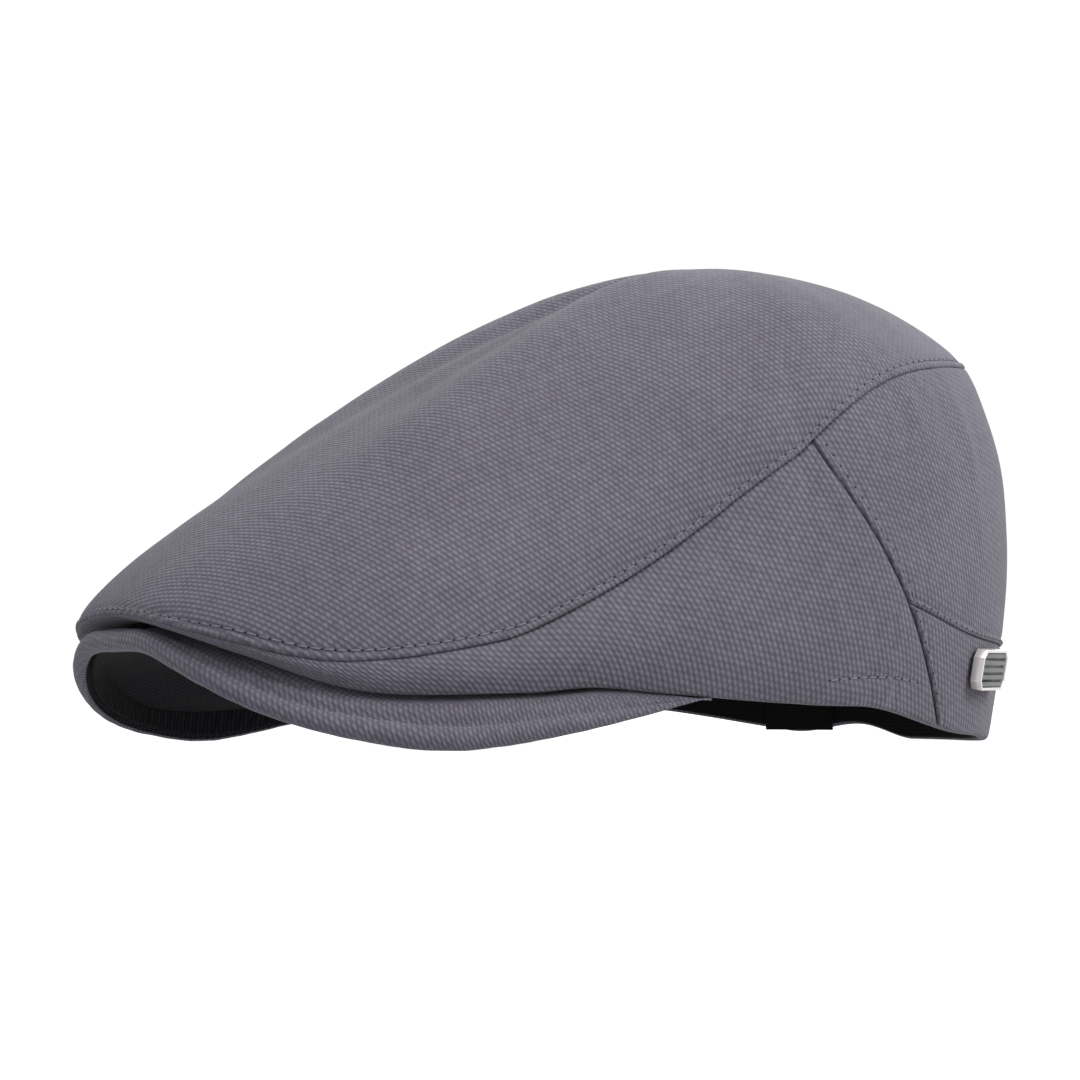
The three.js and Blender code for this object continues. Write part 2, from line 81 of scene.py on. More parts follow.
def value_at(table, name, angle):
    """A table column at any angle: a smooth curve through its rows, the same left and right."""
    last = len(table) - 1
    turned = min(abs(angle), table[last]["at"])
    i = 0
    while i < last - 1 and table[i + 1]["at"] <= turned:
        i += 1
    start, end = table[i], table[i + 1]
    before = table[i - 1] if i else {"at": -table[1]["at"], name: table[1][name]}
    after = table[i + 2] if i + 2 <= last else {"at": 2 * end["at"] - start["at"], name: start[name]}
    span = end["at"] - start["at"]
    start_slope = (end[name] - before[name]) / (end["at"] - before["at"]) * span
    end_slope = (after[name] - start[name]) / (after["at"] - start["at"]) * span
    t = (turned - start["at"]) / span
    bend = t * (1 - t) * ((1 - t) * start_slope - t * end_slope)
    return start[name] + (end[name] - start[name]) * t * t * (3 - 2 * t) + bend


def plan_point(outline, angle):
    sizes = OUTLINES[outline]
    sine, cosine = math.sin(math.radians(angle)), math.cos(math.radians(angle))
    square = sizes["square"] if cosine > 0 else 2
    reach = sizes["front"] if cosine > 0 else sizes["back"]
    size = (abs(sine) ** square + abs(cosine) ** square) ** (-1 / square)
    return Vector((sizes["width"] * sine * size, -reach * cosine * size, 0))


def plan_outward(outline, angle):
    along = plan_point(outline, angle + 0.5) - plan_point(outline, angle - 0.5)
    return Vector((along.y, -along.x, 0)).normalized()


def hem_lift(angle):
    """How much higher or lower the hem hangs at an angle than its table says."""
    lift = 0
    for pull in HEM_PULLS:
        away = min(1, abs(angle - pull["at"]) / pull["spread"])
        lift += pull["lift"] * math.cos(away * math.pi / 2) ** 2
    return lift


def bezier(a, b, c, d, t):
    s = 1 - t
    return a * s ** 3 + b * (3 * s * s * t) + c * (3 * s * t * t) + d * t ** 3


@lru_cache(maxsize=None)
def rounded_section(angle):
    lift = hem_lift(angle)
    root = plan_point("opening", angle)
    root.z = max(0, value_at(SECTIONS, "root", angle) + lift)
    foot = plan_point("foot", angle)
    foot.z = max(0, value_at(SECTIONS, "foot", angle) + lift)
    seam = plan_point("seam", angle)
    seam.z = value_at(SECTIONS, "seam", angle)
    outward = plan_outward("foot", angle)
    third = Vector((0, 0, (seam.z - foot.z) / 3))
    low = foot + outward * value_at(SECTIONS, "low", angle) + third
    high = seam + outward * value_at(SECTIONS, "high", angle) - third
    start = seam + plan_outward("seam", angle) * value_at(SECTIONS, "lean", angle)
    start.z += value_at(SECTIONS, "rise", angle)
    end = APEX.lerp(seam, value_at(SECTIONS, "flat", angle))
    end.z = APEX.z
    steps = [bezier(foot, low, high, seam, k / 8) for k in range(9)]
    wall = sum((b - a).length for a, b in zip(steps, steps[1:]))
    return {"root": root, "foot": foot, "low": low, "high": high, "seam": seam, "start": start,
            "end": end, "wall": wall, "turn": (root - foot).length}


def section(angle):
    """The section of the crown at an angle: the hem's root and foot, the wall, the seam and the top."""
    return rounded_section(round(angle, 4))


def crown_point(angle, level):
    """A point of the crown, in millimetres: level -1 at the head opening, 0 at the foot, 1 at the top
    seam and 2 at the apex. The cloth turns round at the foot in a small fold."""
    cut = section(angle)
    up, under = HEM_ROUND / cut["wall"], HEM_ROUND / cut["turn"]
    if -under < level < up:
        t = (level + under) / (2 * under) if level < 0 else 0.5 + level / (2 * up)
        a = cut["foot"].lerp(cut["root"], under)
        b = bezier(cut["foot"], cut["low"], cut["high"], cut["seam"], up)
        return a * (1 - t) ** 2 + cut["foot"] * (2 * t * (1 - t)) + b * t * t
    if level < 0:
        return cut["foot"].lerp(cut["root"], -level)
    if level <= 1:
        return bezier(cut["foot"], cut["low"], cut["high"], cut["seam"], level)
    return bezier(cut["seam"], cut["start"], cut["end"], APEX, level - 1)


@lru_cache(maxsize=None)
def lengths(outline):
    """The length along a plan outline, from the centre back at -180 round to 180, a degree at a time."""
    total = [0]
    for angle in range(-180, 180):
        total.append(total[-1] + (plan_point(outline, angle + 1) - plan_point(outline, angle)).length)
    return total


def length_at(outline, angle):
    total = lengths(outline)
    turns = (angle + 180) // 360
    place = angle + 180 - 360 * turns
    i = min(int(place), 359)
    return turns * total[-1] + total[i] + (total[i + 1] - total[i]) * (place - i)


def angle_at(outline, length):
    total = lengths(outline)
    turns = length // total[-1]
    rest = length - turns * total[-1]
    i = min(bisect_right(total, rest) - 1, 359)
    return i - 180 + 360 * turns + (rest - total[i]) / (total[i + 1] - total[i])


def rolled(distance, width):
    """How far an edge has turned in, from 1 at the edge to 0 at a distance."""
    x = min(1, max(0, distance / width))
    return 1 - math.sqrt(1 - (1 - x) ** 2)


def near(distance, place, width):
    return math.exp(-((distance - place) / width) ** 2)


STITCH = {"length": 3.4, "inset": 2.3, "close": 1.2, "nose": 0.5, "thread": 0.46, "hole": 0.38}
TUCK = 1.1
LAP = {"proud": 0.4, "crest": 1.1, "broad": 1, "sink": 0.5, "roll": 0.6, "groove": 0.34, "narrow": 0.7,
       "pucker": 0.3, "spacing": 5, "fade": 6}
UNDERLAP = {"sink": 0.7, "roll": 1.7, "pucker": 0.15, "spacing": 6, "fade": 7}
CALM = {"seam": 6, "band": 5, "hem": 4}


def lapped_edge(distance, along):
    """The height of a lapped edge: it rolls in at the seam, stands proud, and dips in a groove at its
    stitches, with small puckers behind them."""
    pucker = noise.noise(Vector((along / LAP["spacing"], 3.1, 0.7))) * math.exp(-distance / LAP["fade"])
    proud = LAP["proud"] * near(distance, LAP["crest"], LAP["broad"])
    groove = LAP["groove"] * near(distance, STITCH["inset"], LAP["narrow"])
    return proud - LAP["sink"] * rolled(distance, LAP["roll"]) - groove + LAP["pucker"] * pucker


def lower_edge(distance, along):
    """The height of the edge that goes under a lapped one, where it is tucked in by a little."""
    pucker = noise.noise(Vector((along / UNDERLAP["spacing"], 8.3, 2.2)))
    pucker *= UNDERLAP["pucker"] * math.exp(-distance / UNDERLAP["fade"])
    return pucker - UNDERLAP["sink"] * rolled(distance, UNDERLAP["roll"])


def tucked(share, steps):
    """Splits a grid's share so that its last step is the cloth tucked under the next piece."""
    last = share > 1 - 0.5 / steps
    return min(1, share * steps / (steps - 1)), last


FOLD_COLUMNS = ("at", "along", "length", "width", "height")
FOLDS = [dict(zip(FOLD_COLUMNS, row)) for row in (
    ((13, 6, 123), (0.3, 1, 0.35), 16, 3.6, 0.22),
    ((9, 19, 128), (0.2, 1, 0.2), 13, 3, 0.12),
    ((19, 11, 124), (0.3, 1, 0.3), 16, 3.2, -0.25),
    ((30, 26, 125), (-0.2, 1, 0.1), 18, 5, 0.2),
    ((78.5, 67, 90), (0, 0.05, -1), 13, 2.8, 0.7),
    ((71, 90, 83), (0, 0.1, -1), 22, 3.4, 0.7),
    ((74, 79, 92), (0, 0.1, -1), 14, 3.5, -0.5),
    ((70, -70, 36), (0.1, 1, 0.2), 12, 5, -0.6),
    ((-16, 8, 123), (-0.2, 1, 0.3), 15, 4, 0.2),
    ((-60, 60, 112), (0.5, 0.8, 0.2), 16, 5, 0.6),
    ((-76, 72, 84), (0, 0.05, -1), 16, 3.6, 0.7),
    ((20, 119, 92), (0.1, 0, -1), 18, 4, 0.6),
)]


UNEVEN = {"broad": 0.75, "broad_size": 42, "fine": 0.3, "fine_size": 17}


def unevenness(point):
    """The soft unevenness of sewn cloth, and its few small folds, by place on the cap."""
    height = UNEVEN["broad"] * noise.noise(point / UNEVEN["broad_size"])
    height += UNEVEN["fine"] * noise.noise(point / UNEVEN["fine_size"] + Vector((5, 1, 2)))
    for fold in FOLDS:
        away = point - Vector(fold["at"])
        line = Vector(fold["along"]).normalized()
        along = away.dot(line)
        across = (away - line * along).length
        if along < 3 * fold["length"] and across < 3 * fold["width"]:
            height += fold["height"] * near(along, 0, fold["length"]) * near(across, 0, fold["width"])
    return height


def cloth_piece(name, columns, rows, place, relief, facing=None):
    """A cloth piece from a grid. place gives the point and the weave's place for two shares, along
    and up, and relief how far the cloth stands out there. The grid's ends merge where they meet, and
    facing is the share up from which the second cloth is used; on the peak that second cloth is
    the grey cotton painted near black, as painted shade."""
    bm = bmesh.new()
    bmesh.ops.create_grid(bm, x_segments=columns, y_segments=rows, size=0.5)
    shares = {v: (v.co.x + 0.5, v.co.y + 0.5) for v in bm.verts}
    weave = bm.loops.layers.uv.new("weave")
    spots = {}
    for v, (s, t) in shares.items():
        point, flat = place(s, t)
        spots[v] = (point, flat)
        v.co = (point + MIDDLE) * MM
    for face in bm.faces:
        for loop in face.loops:
            loop[weave].uv = spots[loop.vert][1]
        if facing and min(shares[v][1] for v in face.verts) > facing:
            face.material_index = 1
    bm.normal_update()
    heights = {v: relief(s, t, spots[v][0]) for v, (s, t) in shares.items()}
    for v, height in heights.items():
        v.co = v.co + v.normal * (height * MM)
    bmesh.ops.remove_doubles(bm, verts=bm.verts, dist=MERGED)
    return finished(name, bm)


def finished(name, bm, smooth=True):
    mesh = bpy.data.meshes.new(name)
    bm.to_mesh(mesh)
    bm.free()
    mesh.polygons.foreach_set("use_smooth", [smooth] * len(mesh.polygons))
    piece = bpy.data.objects.new(name, mesh)
    bpy.context.scene.collection.objects.link(piece)
    return piece


def wall_thickness(piece, thick):
    solid = piece.modifiers.new("wall", "SOLIDIFY")
    solid.thickness = thick
    solid.offset = -1
    # The inner side takes the piece's second material, near black as painted shade.
    solid.material_offset = 1
    solid.material_offset_rim = 0


def new_material(name):
    material = bpy.data.materials.new(name)
    material.use_nodes = True
    nodes, links = material.node_tree.nodes, material.node_tree.links
    return material, nodes, links, nodes["Principled BSDF"]


def add(nodes, kind, **values):
    """A node with its settings, and its inputs by name or number."""
    node = nodes.new(kind)
    for key, value in values.items():
        if key == "inputs":
            for socket, given in value.items():
                node.inputs[socket].default_value = given
        else:
            setattr(node, key, value)
    return node


def place_noise(nodes, links, **inputs):
    """Noise by place on the piece."""
    place = add(nodes, "ShaderNodeTexCoord")
    texture = add(nodes, "ShaderNodeTexNoise", inputs=inputs)
    links.new(place.outputs["Object"], texture.inputs["Vector"])
    return texture.outputs["Fac"]


def mixed(nodes, links, factor, low, high):
    """Two colours mixed by a factor."""
    colour = add(nodes, "ShaderNodeMix", data_type="RGBA", inputs={"A": (*low, 1), "B": (*high, 1)})
    links.new(factor, colour.inputs["Factor"])
    return colour.outputs["Result"]


WEAVE = ((0.55, 0.62, 0.24), (0.36, 0.08, 0.56), (0.2, 0.54, -0.32))


def cotton(name, threads, gaps, relief, sheen):
    """Cotton in a small staggered weave: raised oval threads in rows, with darker gaps between. Each
    wave of the weave has its share of the height, and how often it comes in a millimetre each way."""
    material, nodes, links, shader = new_material(name)
    uv = add(nodes, "ShaderNodeUVMap", uv_map="weave")
    waves = [(share, (2 * math.pi * along, 2 * math.pi * up, 0)) for share, along, up in WEAVE]
    total = None
    for share, direction in waves:
        dot = add(nodes, "ShaderNodeVectorMath", operation="DOT_PRODUCT", inputs={1: direction})
        wave = add(nodes, "ShaderNodeMath", operation="COSINE")
        part = add(nodes, "ShaderNodeMath", operation="MULTIPLY", inputs={1: share})
        links.new(uv.outputs["UV"], dot.inputs[0])
        links.new(dot.outputs["Value"], wave.inputs[0])
        links.new(wave.outputs[0], part.inputs[0])
        if total:
            both = add(nodes, "ShaderNodeMath", operation="ADD")
            links.new(total.outputs[0], both.inputs[0])
            links.new(part.outputs[0], both.inputs[1])
            total = both
        else:
            total = part
    height = add(nodes, "ShaderNodeMapRange", interpolation_type="SMOOTHSTEP", inputs={1: -0.75, 2: 0.95})
    links.new(total.outputs[0], height.inputs["Value"])

    fibres = place_noise(nodes, links, Scale=2600, Detail=2, Roughness=0.6)
    blotches = place_noise(nodes, links, Scale=26, Detail=3, Roughness=0.55)
    uneven = place_noise(nodes, links, Scale=420, Detail=1, Roughness=0.5)
    shade = None
    for texture, low, high in ((fibres, 0.84, 1.16), (blotches, 0.9, 1.1), (uneven, 0.86, 1.14)):
        spread = add(nodes, "ShaderNodeMapRange", inputs={1: 0.25, 2: 0.75, 3: low, 4: high})
        links.new(texture, spread.inputs["Value"])
        if shade:
            product = add(nodes, "ShaderNodeMath", operation="MULTIPLY")
            links.new(shade, product.inputs[0])
            links.new(spread.outputs["Result"], product.inputs[1])
            shade = product.outputs[0]
        else:
            shade = spread.outputs["Result"]
    shaded = add(nodes, "ShaderNodeVectorMath", operation="SCALE")
    links.new(mixed(nodes, links, height.outputs["Result"], gaps, threads), shaded.inputs[0])
    links.new(shade, shaded.inputs["Scale"])
    links.new(shaded.outputs[0], shader.inputs["Base Color"])

    weave = add(nodes, "ShaderNodeBump", inputs={"Strength": 0.7, "Distance": relief})
    links.new(height.outputs["Result"], weave.inputs["Height"])
    fuzz = add(nodes, "ShaderNodeBump", inputs={"Strength": 0.35, "Distance": 0.0001})
    links.new(fibres, fuzz.inputs["Height"])
    links.new(weave.outputs["Normal"], fuzz.inputs["Normal"])
    links.new(fuzz.outputs["Normal"], shader.inputs["Normal"])
    shader.inputs["Roughness"].default_value = 0.9
    shader.inputs["Specular IOR Level"].default_value = 2 * sheen
    shader.inputs["Sheen Weight"].default_value = sheen
    shader.inputs["Sheen Roughness"].default_value = 0.5
    return material


grey_cotton = cotton("grey violet cotton", (0.083, 0.0777, 0.0995), (0.0475, 0.0443, 0.0578), 0.0003, 0.08)


def plain_black(name, colour, scale):
    """Near-black cotton with fine ribs, as the sweatband and strap have; the facing and the needle holes use
    it as painted shade.
    """
    material, nodes, links, shader = new_material(name)
    place = add(nodes, "ShaderNodeTexCoord")
    ribs = add(nodes, "ShaderNodeTexWave", bands_direction="Z", inputs={"Scale": scale, "Distortion": 0.6})
    links.new(place.outputs["Object"], ribs.inputs["Vector"])
    fibres = place_noise(nodes, links, Scale=1800, Detail=2)
    dark, pale = [tuple(part * share for part in colour) for share in (0.6, 1.5)]
    links.new(mixed(nodes, links, fibres, dark, pale), shader.inputs["Base Color"])
    bump = add(nodes, "ShaderNodeBump", inputs={"Strength": 0.5, "Distance": 0.00015})
    links.new(ribs.outputs["Fac"], bump.inputs["Height"])
    links.new(bump.outputs["Normal"], shader.inputs["Normal"])
    shader.inputs["Roughness"].default_value = 0.92
    shader.inputs["Specular IOR Level"].default_value = 0.05
    return material


# The cloth's inner side, near black as painted shade for the shaded inside of the crown and the turned hem.
painted_shade_facing = plain_black("facing painted black as shade", (0.004, 0.004, 0.0045), 160)


def stitch_row(name, spots, thread, hole):
    """A row of topstitching: spots gives each needle hole's place and outward direction. Each stitch
    is a short thread that dips at its ends, and each hole a small flat dark lens on the cloth: painted shade
    of the needle hole."""
    bm = bmesh.new()
    for (a, out_a), (b, out_b) in zip(spots, spots[1:]):
        along = b - a
        out = (out_a + out_b).normalized()
        side = along.cross(out).normalized()
        turn = Matrix((along.normalized(), side, out)).transposed().to_4x4()
        size = Matrix.Diagonal((along.length * 0.4, STITCH["thread"] / 2, STITCH["thread"] * 0.42, 1))
        middle = (a + b) / 2 + out * 0.06
        made = bmesh.ops.create_uvsphere(bm, u_segments=8, v_segments=6, radius=1)
        up = Matrix.Rotation(math.pi / 2, 4, "Y")
        bmesh.ops.transform(bm, matrix=Matrix.Translation(middle) @ turn @ size @ up, verts=made["verts"])
    threads = len(bm.faces)
    # The holes are flat lenses in the needle hole shade: painted shade, not pits.
    for spot, out in spots:
        side = out.orthogonal().normalized()
        turn = Matrix((side, out.cross(side), out)).transposed().to_4x4()
        size = Matrix.Diagonal((STITCH["hole"], STITCH["hole"], 0.12, 1))
        made = bmesh.ops.create_uvsphere(bm, u_segments=8, v_segments=4, radius=1)
        bmesh.ops.transform(bm, matrix=Matrix.Translation(spot) @ turn @ size, verts=made["verts"])
    for v in bm.verts:
        v.co = (v.co + MIDDLE) * MM
    bm.faces.ensure_lookup_table()
    for face in bm.faces[threads:]:
        face.material_index = 1
    row = finished(name, bm)
    row.data.materials.append(thread)
    row.data.materials.append(hole)
    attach(row, "root")
    return row


def sewing_thread():
    material, nodes, links, shader = new_material("grey sewing thread")
    twist = place_noise(nodes, links, Scale=3000, Detail=1)
    greys = mixed(nodes, links, twist, (0.056, 0.054, 0.07), (0.105, 0.1, 0.126))
    links.new(greys, shader.inputs["Base Color"])
    shader.inputs["Roughness"].default_value = 0.7
    return material


grey_thread = sewing_thread()
hole_shade = plain_black("needle hole shade", (0.018, 0.0173, 0.0215), 160)


def row_on_crown(start, end, place):
    """Needle holes along a line of the crown, evenly spaced."""
    samples = [place(start + (end - start) * k / 400) for k in range(401)]
    spots, run = [], 0.0
    for (a, out), (b, next_out) in zip(samples, samples[1:]):
        gap = (b - a).length
        while run <= gap:
            t = run / gap if gap else 0
            direction = out.lerp(next_out, t).normalized()
            spots.append((a.lerp(b, t), direction))
            run += STITCH["length"]
        run -= gap
    return spots


def on_cloth(cloth, spots):
    """Moves needle holes onto a cloth's own surface."""
    bm = bmesh.new()
    bm.from_mesh(cloth.data)
    tree = BVHTree.FromBMesh(bm)
    bm.free()
    found = [tree.find_nearest((spot + MIDDLE) * MM) for spot, out in spots]
    return [(place / MM - MIDDLE, outward) for place, outward, face, away in found]


def crown_outward(angle, level):
    up = crown_point(angle, min(level + 0.02, 2)) - crown_point(angle, level - 0.005)
    along = crown_point(angle + 0.5, level) - crown_point(angle - 0.5, level)
    return along.cross(up).normalized()


TOP_GRID = {"columns": 420, "rows": 70, "gather": 1.35}
SEAM_ROUND = lengths("seam")[-1]


def top_place(s, t):
    angle = angle_at("seam", SEAM_ROUND * s)
    level = 1 + t ** TOP_GRID["gather"]
    point = crown_point(angle, level)
    from_apex = point - APEX
    plan = Vector((from_apex.x, from_apex.y))
    reach = from_apex.length * (1 + 0.06 * (2 - level))
    flat = plan.normalized() * reach if plan.length > 0.01 else plan
    return point, (flat.y, -flat.x)


def top_relief(s, t, point):
    angle = angle_at("seam", SEAM_ROUND * s)
    distance = (point - section(angle)["seam"]).length
    height = lapped_edge(distance, SEAM_ROUND * min(s, 1 - s))
    return height + unevenness(point + MIDDLE) * min(1, distance / CALM["seam"])


top_panel = cloth_piece("top_panel_cloth", TOP_GRID["columns"], TOP_GRID["rows"], top_place, top_relief)
wall_thickness(top_panel, CLOTH_THICK)
top_panel.data.materials.append(grey_cotton)
top_panel.data.materials.append(painted_shade_facing)
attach(top_panel, "root")
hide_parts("top_panel")


def top_stitch_place(angle):
    wall = section(angle)
    reach = 3 * (wall["start"] - wall["seam"]).length
    inset = STITCH["inset"] * (1 - STITCH["nose"] * max(0, 1 - abs(angle) / 35))
    level = 1 + inset / reach
    point, outward = crown_point(angle, level), crown_outward(angle, level)
    height = lapped_edge(inset, length_at("seam", -abs(angle)))
    height += unevenness(point + MIDDLE) * inset / CALM["seam"]
    return point + outward * height, outward


top_row = on_cloth(top_panel, row_on_crown(-180, 180, top_stitch_place))
top_stitching = stitch_row("top_stitching", top_row, grey_thread, hole_shade)


# The two side panels: long strips of the same cotton, narrow over the peak and tall beside the head. The
# top panel laps over their upper edge, the back panel over their slanting rear edge, and the hem turns
# under to the head opening, held by a short row of stitches at the rear.
REAR_SEAM = {"foot": 120, "drop": 42.5, "ease": 15}
REAR_SLANT = 0.9
SIDE_GRID = {"columns": 230, "rows": 60, "turned": 0.14, "narrow": 5, "gather": 0.8}
HEM_STITCH = {"start": 93.5, "end": 113, "level": 0.1, "groove": 0.55, "pucker": 0.8, "spacing": 3.4}


def rear_seam_angle(level):
    up = max(0, level)
    return REAR_SEAM["foot"] - REAR_SEAM["drop"] * up + REAR_SEAM["ease"] * up * up


def ends_gathered(x):
    """Shares from 0 to 1 that lie closer together at both ends."""
    return x - SIDE_GRID["gather"] * math.sin(2 * math.pi * x) / (2 * math.pi)


def wall_level(t, top, turned):
    """The level up a panel with a turned hem: from -1 under the hem, past the foot, to its top."""
    if t < turned:
        return -((1 - t / turned) ** 1.6)
    return top * ends_gathered((t - turned) / (1 - turned))


FRONT_LENGTH = length_at("foot", 0)


def wall_flat(angle, level):
    """Where a point of the wall lies in the flat cloth: along the hem, and up from it."""
    cut = section(angle)
    up = level * (cut["wall"] if level > 0 else cut["turn"])
    return length_at("foot", angle) - FRONT_LENGTH, up


def hem_pull(angle, along, up):
    """How the row of stitches at the hem's rear draws the cloth in, with puckers round it."""
    from_ends = min((angle - HEM_STITCH["start"]) / 3, HEM_STITCH["end"] - angle)
    pucker = HEM_STITCH["pucker"] * noise.noise(Vector((along / HEM_STITCH["spacing"], up / 14, 1.7)))
    groove = HEM_STITCH["groove"] * near(up, HEM_STITCH["level"] * section(angle)["wall"], 0.9)
    return min(1, max(0, from_ends)) * (pucker * near(up, 5, 6) - groove)


def side_panel(name, node, side):
    def spot(s, t):
        rise, under_top = tucked(t, SIDE_GRID["rows"])
        share, under_back = tucked(s if side > 0 else 1 - s, SIDE_GRID["columns"])
        level = wall_level(rise, 1, SIDE_GRID["turned"])
        reach = (length_at("foot", rear_seam_angle(level)) - FRONT_LENGTH) * share
        if under_back:
            reach += TUCK / REAR_SLANT
        return side * angle_at("foot", FRONT_LENGTH + reach), level, under_top

    def place(s, t):
        angle, level, under_top = spot(s, t)
        point = crown_point(angle, level)
        if under_top:
            cut = section(angle)
            point = point + (cut["seam"] - cut["high"]).normalized() * TUCK
        return point, wall_flat(angle, level)

    def relief(s, t, point):
        angle, level, under_top = spot(s, t)
        if level < 0:
            return 0
        cut = section(angle)
        along, up = wall_flat(angle, level)
        below = 0 if under_top else (point - cut["seam"]).length
        rear = length_at("foot", rear_seam_angle(level)) - FRONT_LENGTH
        from_rear = (rear - abs(along)) * REAR_SLANT
        tall = min(1, max(0, (cut["seam"].z - cut["foot"].z - SIDE_GRID["narrow"]) / 12))
        height = lower_edge(below, along) * tall + lower_edge(from_rear, up)
        calm = min(1, below / CALM["seam"], from_rear / CALM["seam"], cut["wall"] / 30, up / CALM["hem"])
        height += unevenness(point + MIDDLE) * max(0, calm)
        if side > 0:
            height += hem_pull(angle, along, up)
        return height

    piece = cloth_piece(name, SIDE_GRID["columns"], SIDE_GRID["rows"], place, relief)
    wall_thickness(piece, CLOTH_THICK)
    piece.data.materials.append(grey_cotton)
    piece.data.materials.append(painted_shade_facing)
    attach(piece, "root")
    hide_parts(node)
    return piece


side_left = side_panel("side_cloth_left", "side_panel_left", 1)
side_right = side_panel("side_cloth_right", "side_panel_right", -1)


def hem_stitch_place(angle):
    level = HEM_STITCH["level"]
    point, outward = crown_point(angle, level), crown_outward(angle, level)
    along, up = wall_flat(angle, level)
    height = hem_pull(angle, along, up) + unevenness(point + MIDDLE) * min(1, up / CALM["hem"])
    return point + outward * height, outward


hem_row = row_on_crown(HEM_STITCH["start"], HEM_STITCH["end"], hem_stitch_place)
hem_stitching = stitch_row("hem_stitching", on_cloth(side_left, hem_row), grey_thread, hole_shade)
for piece, rows in ((side_left, [hem_stitching]), (side_right, [])):
    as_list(rows)


# The back panel, curved round the head between the two slanting seams, and the low back band under it.
# The panel laps over the sides and over the band, with a row of stitches along each lapped edge, and
# the band turns under at the hem.
BAND_SEAM = {"centre": 0.25, "rise": 0.08, "curve": 6}
BACK_GRID = {"columns": 210, "rows": 46, "band_rows": 26, "turned": 0.2, "gather": 0.8}


def band_level(share):
    return BAND_SEAM["centre"] + BAND_SEAM["rise"] * (1 - share) ** BAND_SEAM["curve"]


def back_angle(s, level):
    total = lengths("foot")[-1]
    start = length_at("foot", rear_seam_angle(level))
    end = FRONT_LENGTH + total - (start - FRONT_LENGTH)
    return angle_at("foot", start + (end - start) * s)


def signed(angle):
    return angle - 360 if angle > 180 else angle


def from_rear_seams(s, level):
    """How far a point is from the nearer slanting seam, in millimetres."""
    total = lengths("foot")[-1]
    start = length_at("foot", rear_seam_angle(level))
    return (total - 2 * (start - FRONT_LENGTH)) * min(s, 1 - s) * REAR_SLANT


def closer_at_middle(s):
    return 0.5 + 0.5 * math.copysign(abs(2 * s - 1) ** BACK_GRID["gather"], 2 * s - 1)


def back_panel_spot(s, t):
    across = closer_at_middle(s)
    rise, under_top = tucked(t, BACK_GRID["rows"])
    low = band_level(1 - abs(2 * across - 1))
    level = low + (1 - low) * ends_gathered(rise)
    return across, level, signed(back_angle(across, level)), under_top


def back_panel_place(s, t):
    across, level, angle, under_top = back_panel_spot(s, t)
    cut = section(angle)
    point = crown_point(angle, level)
    if under_top:
        point = point + (cut["seam"] - cut["high"]).normalized() * TUCK
    along = length_at("foot", back_angle(across, level)) - FRONT_LENGTH
    return point, (along, level * cut["wall"])


def back_panel_relief(s, t, point):
    across, level, angle, under_top = back_panel_spot(s, t)
    cut = section(angle)
    share = 1 - abs(2 * across - 1)
    along = length_at("foot", back_angle(across, level))
    to_top = 0 if under_top else (point - cut["seam"]).length
    to_band = (level - band_level(share)) * cut["wall"]
    to_rear = from_rear_seams(across, level)
    height = lower_edge(to_top, along)
    height += lapped_edge(to_rear, level * cut["wall"]) + lapped_edge(to_band, along) * min(1, to_rear / 2)
    calm = min(1, min(to_top, to_band, to_rear) / CALM["seam"])
    return height + unevenness(point + MIDDLE) * max(0, calm)


back_panel = cloth_piece("back_panel_cloth", BACK_GRID["columns"], BACK_GRID["rows"],
                         back_panel_place, back_panel_relief)


def band_spot(s, t):
    across = closer_at_middle(s)
    rise, under_panel = tucked(t, BACK_GRID["band_rows"])
    top = band_level(1 - abs(2 * across - 1))
    level = wall_level(rise, top, BACK_GRID["turned"])
    angle = signed(back_angle(across, level))
    if under_panel:
        level += TUCK / section(angle)["wall"]
    return across, level, angle, top


def band_place(s, t):
    across, level, angle, top = band_spot(s, t)
    cut = section(angle)
    along = length_at("foot", back_angle(across, level)) - FRONT_LENGTH
    return crown_point(angle, level), (along, level * (cut["wall"] if level > 0 else cut["turn"]))


def band_relief(s, t, point):
    across, level, angle, top = band_spot(s, t)
    if level < 0:
        return 0
    cut = section(angle)
    along = length_at("foot", back_angle(across, level))
    to_top = (top - level) * cut["wall"]
    to_rear = from_rear_seams(across, level)
    calm = min(1, min(to_top, to_rear) / CALM["band"], level * cut["wall"] / CALM["hem"])
    height = lower_edge(to_top, along) + lapped_edge(to_rear, level * cut["wall"])
    return height + 0.7 * unevenness(point + MIDDLE) * max(0, calm)


back_band = cloth_piece("back_band_cloth", BACK_GRID["columns"], BACK_GRID["band_rows"],
                        band_place, band_relief)
for piece, node in ((back_panel, "back_panel"), (back_band, "back_band")):
    wall_thickness(piece, CLOTH_THICK)
    piece.data.materials.append(grey_cotton)
    piece.data.materials.append(painted_shade_facing)
    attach(piece, "root")
    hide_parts(node)


def rear_stitch_place(side, inset):
    def place(level):
        length = length_at("foot", rear_seam_angle(level)) + inset / REAR_SLANT
        angle = side * angle_at("foot", length)
        point, outward = crown_point(angle, level), crown_outward(angle, level)
        height = lapped_edge(inset, level * section(angle)["wall"])
        return point + outward * (height + unevenness(point + MIDDLE) * inset / CALM["seam"]), outward
    return place


def band_stitch_place(across):
    share = 1 - abs(2 * across - 1)
    angle = back_angle(across, band_level(share))
    cut = section(signed(angle))
    level = band_level(share) + STITCH["close"] / cut["wall"]
    point, outward = crown_point(signed(angle), level), crown_outward(signed(angle), level)
    height = lapped_edge(STITCH["close"], length_at("foot", angle))
    return point + outward * (height + unevenness(point + MIDDLE) * STITCH["close"] / CALM["seam"]), outward


